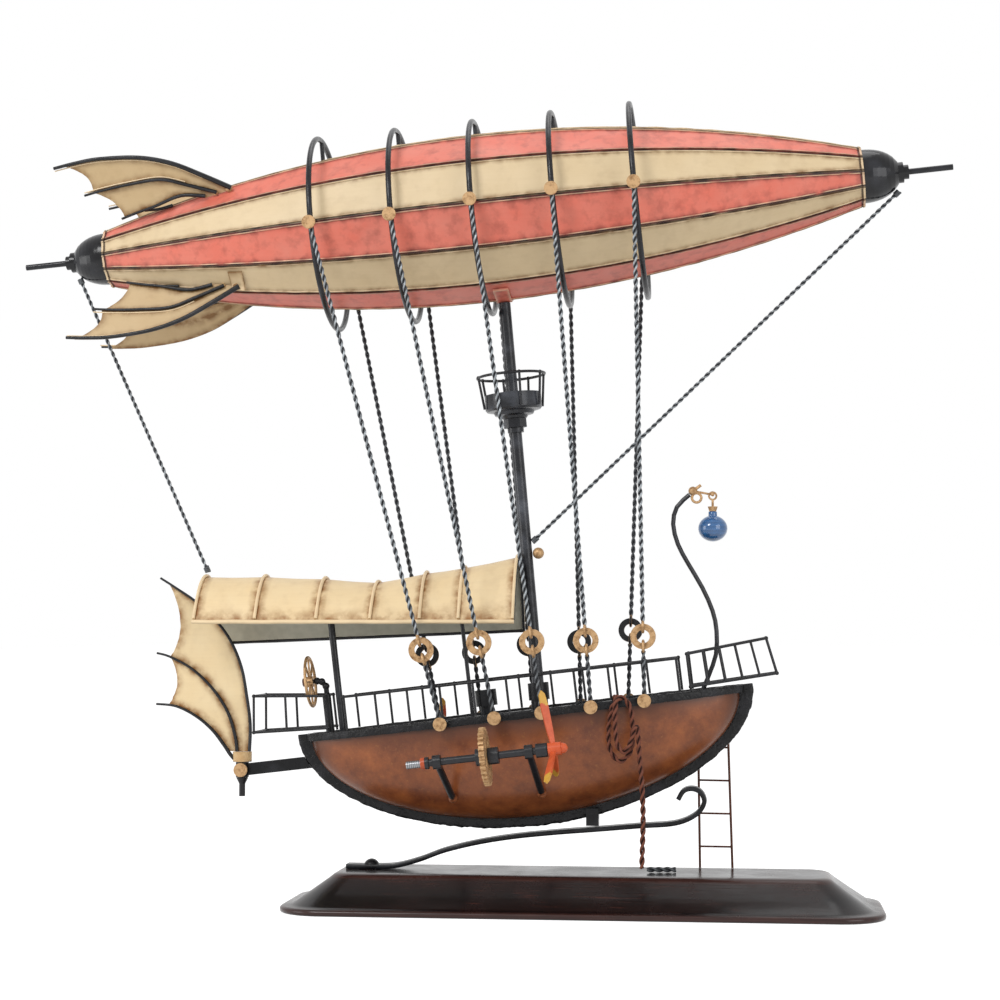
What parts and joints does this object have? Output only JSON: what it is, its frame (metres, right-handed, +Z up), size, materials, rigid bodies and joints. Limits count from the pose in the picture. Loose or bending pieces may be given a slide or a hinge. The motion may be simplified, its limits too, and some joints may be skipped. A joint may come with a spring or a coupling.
{
  "type": "airship display model",
  "caption": "Sheet-metal display model of an airship: ribbed envelope on a mast over a boat hull with awning, rudder, turning screws and helm, on a tray base.",
  "frame": {"origin": "on the floor under the middle of the envelope", "axes": "+X towards the bow, +Y to port (away from the camera), +Z up"},
  "size_m": [0.6142, 0.2212, 0.5228],
  "materials": {
    "base_paint": "dark brown paint, semi-gloss",
    "black_paint": "black paint, semi-gloss",
    "stay_wire": "dark twisted wire",
    "hull_paint": "brown paint over hammered sheet",
    "rust_paint": "dull brown paint",
    "cream_paint": "cream paint, semi-gloss",
    "sail_paint": "cream paint with browned edges",
    "red_paint": "faded red paint, semi-gloss",
    "brass": "plain brass",
    "lantern_glass": "glossy blue",
    "rope": "twisted cord",
    "screw_paint": "orange-red paint, yellow tips"
  },
  "bodies": {
    "airship": {"base_tray": "base_paint", "support_strap": "black_paint", "strap_bolt": "black_paint", "strap_nut": "black_paint", "keel_clamp": "black_paint", "base_wire": "stay_wire", "hull_starboard": "hull_paint", "hull_port": "hull_paint", "keel_band": "black_paint", "deck": "black_paint", "gunwale": "black_paint", "starboard_rail": "black_paint", "port_rail": "black_paint", "stern_gallery": "black_paint", "bow_gallery": "black_paint", "mast_socket": "black_paint", "deck_drum": "black_paint", "rudder_arm": "black_paint", "helm_post": "black_paint", "helm_nut": "rust_paint", "awning_sheet": "sail_paint", "awning_battens": "sail_paint", "awning_posts": "black_paint", "mast": "black_paint", "mast_saddle": "red_paint", "nest_tub": "black_paint", "nest_rail": "black_paint", "nest_nuts": "black_paint", "mast_knob": "brass", "cream_gores": "cream_paint", "red_gores": "red_paint", "end_caps": "black_paint", "end_rods": "black_paint", "hoops": "black_paint", "brass_buttons": "brass", "upper_stays": "stay_wire", "lower_stays": "stay_wire", "ring_washers": "brass", "end_stays": "stay_wire", "fin_sheets": "sail_paint", "fin_ribs": "black_paint", "lantern_arm": "black_paint", "lantern_hook": "brass", "ladder": "rust_paint", "mooring_rope": "rope", "starboard_brackets": "black_paint", "port_brackets": "black_paint"},
    "starboard_screw": {"starboard_shaft": "black_paint", "starboard_gear": "brass", "starboard_propeller": "screw_paint"},
    "port_screw": {"port_shaft": "black_paint", "port_gear": "brass", "port_propeller": "screw_paint"},
    "helm": {"helm_wheel": "brass"},
    "rudder": {"rudder_stock": "black_paint", "rudder_ribs": "black_paint", "rudder_sheet": "sail_paint"},
    "lantern": {"lantern_crown": "brass", "lantern_ball": "lantern_glass"}
  },
  "joints": [
    {"name": "starboard_screw_spin", "type": "hinge", "parent": "airship", "child": "starboard_screw", "pos_m": [0.01078, -0.079, 0.1011], "axis": [0.9932, 0, 0.1167], "continuous": true},
    {"name": "port_screw_spin", "type": "hinge", "parent": "airship", "child": "port_screw", "pos_m": [0.01078, 0.079, 0.1011], "axis": [0.9932, 0, 0.1167], "continuous": true},
    {"name": "helm_spin", "type": "hinge", "parent": "airship", "child": "helm", "pos_m": [-0.11115, 0, 0.14478], "axis": [0.9932, 0, 0.1167], "continuous": true},
    {"name": "rudder_swing", "type": "hinge", "parent": "airship", "child": "rudder", "pos_m": [-0.1563, 0, 0.09], "axis": [0, 0, 1], "range_deg": [-30, 30]},
    {"name": "lantern_swing", "type": "hinge", "parent": "airship", "child": "lantern", "pos_m": [0.152, 0, 0.266], "axis": [0, 1, 0], "range_deg": [-30, 20]}
  ]
}
